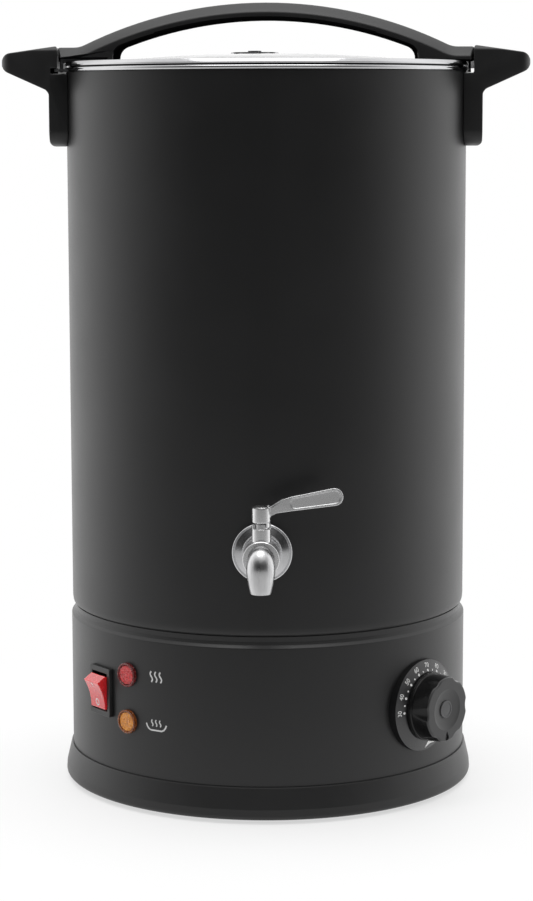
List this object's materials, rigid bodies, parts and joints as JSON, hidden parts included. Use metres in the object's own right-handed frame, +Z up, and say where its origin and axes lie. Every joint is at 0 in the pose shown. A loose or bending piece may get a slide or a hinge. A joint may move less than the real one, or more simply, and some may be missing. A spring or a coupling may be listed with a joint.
{
  "type": "electric wax melter",
  "caption": "Tall cylindrical electric melting pot with twist-lock lid, arched lid handle, side handles, ball-valve tap, rocker switch, lamps and thermostat knob.",
  "frame": {"origin": "on the pot axis, at the level of the rubber feet", "axes": "+Z up along the pot axis, the front with the tap faces -Y, +X to the right seen from the front"},
  "size_m": [0.2922, 0.2662, 0.4387],
  "materials": {
    "black_powder_coat": "satin powder coat, fine texture",
    "black_bakelite": "satin moulded phenolic",
    "black_gloss_plastic": "gloss",
    "black_panel_plastic": "satin",
    "polished_steel": "polished",
    "brushed_steel": "brushed",
    "zinc_steel": "zinc plated",
    "tap_steel": "satin polished stainless",
    "cast_aluminium": "as cast",
    "element_sheath": "heat darkened",
    "copper": "drawn tube",
    "brass_terminals": "stamped",
    "black_rubber": "matt",
    "silicone": "matt translucent",
    "dark_silicone": "matt",
    "sealing_plastic": "smooth",
    "glass_fibre": "soft blanket",
    "ceramic": "glazed",
    "red_rocker_plastic": "gloss, slightly clear",
    "red_lens": "clear red",
    "amber_lens": "clear amber",
    "grey_cap": "satin"
  },
  "bodies": {
    "housing": {"outer_shell": "black_powder_coat", "base_shell": "black_powder_coat", "inner_pot": "polished_steel", "insulation": "glass_fibre", "foot_ring": "black_bakelite", "bottom_plate": "zinc_steel", "rubber_feet": "black_rubber", "bottom_screws": "zinc_steel", "heater_plate": "cast_aluminium", "heating_element": "element_sheath", "heater_clamp": "zinc_steel", "clamp_nut": "zinc_steel", "thermal_cutout": "black_panel_plastic", "side_handle_left": "black_bakelite", "side_handle_right": "black_bakelite", "handle_screws": "zinc_steel", "tap_body": "tap_steel", "tap_spout": "tap_steel", "tap_flange": "tap_steel", "tap_washer_outer": "silicone", "tap_washer_inner": "silicone", "tap_spacer": "brushed_steel", "tap_nut": "brushed_steel", "tap_seats": "sealing_plastic", "tap_bonnet": "tap_steel", "dial_plate": "black_panel_plastic", "thermostat_body": "zinc_steel", "thermostat_bulb": "copper", "thermostat_screws": "zinc_steel", "switch_body": "black_panel_plastic", "switch_terminals": "brass_terminals", "lamp_red": "red_lens", "lamp_amber": "amber_lens", "lamp_clips": "black_panel_plastic", "power_inlet": "black_panel_plastic", "inlet_pins": "brass_terminals", "inlet_screws": "zinc_steel", "terminal_block": "ceramic"},
    "gasket": {"lid_gasket": "dark_silicone"},
    "lid": {"lid_pan": "polished_steel", "lid_handle": "black_bakelite", "lid_screws": "zinc_steel", "lock_plates": "zinc_steel", "vent_disc": "polished_steel", "vent_cap": "polished_steel"},
    "tap_handle": {"tap_lever": "tap_steel", "tap_stem": "brushed_steel", "tap_ball": "polished_steel"},
    "thermostat_knob": {"knob": "black_gloss_plastic", "knob_cap": "grey_cap", "thermostat_shaft": "brushed_steel"},
    "rocker": {"switch_rocker": "red_rocker_plastic"}
  },
  "joints": [
    {"name": "lid_lift", "type": "slide", "parent": "housing", "child": "gasket", "axis": [0, 0, 1], "range_m": [0, 0.12]},
    {"name": "lid_turn", "type": "hinge", "parent": "gasket", "child": "lid", "pos_m": [0, 0, 0.401], "axis": [0, 0, 1], "range_deg": [-14, 0]},
    {"name": "tap_lever", "type": "hinge", "parent": "housing", "child": "tap_handle", "pos_m": [0, -0.129, 0.1479], "axis": [0, 0, 1], "range_deg": [-90, 0]},
    {"name": "knob_turn", "type": "hinge", "parent": "housing", "child": "thermostat_knob", "pos_m": [0.08633, -0.07244, 0.0557], "axis": [0.766, -0.6428, 0], "range_deg": [-265, 0]},
    {"name": "rocker_tilt", "type": "hinge", "parent": "housing", "child": "rocker", "pos_m": [-0.08977, -0.06814, 0.0622], "axis": [0.6046, -0.7965, 0], "range_deg": [-34, 0]}
  ]
}
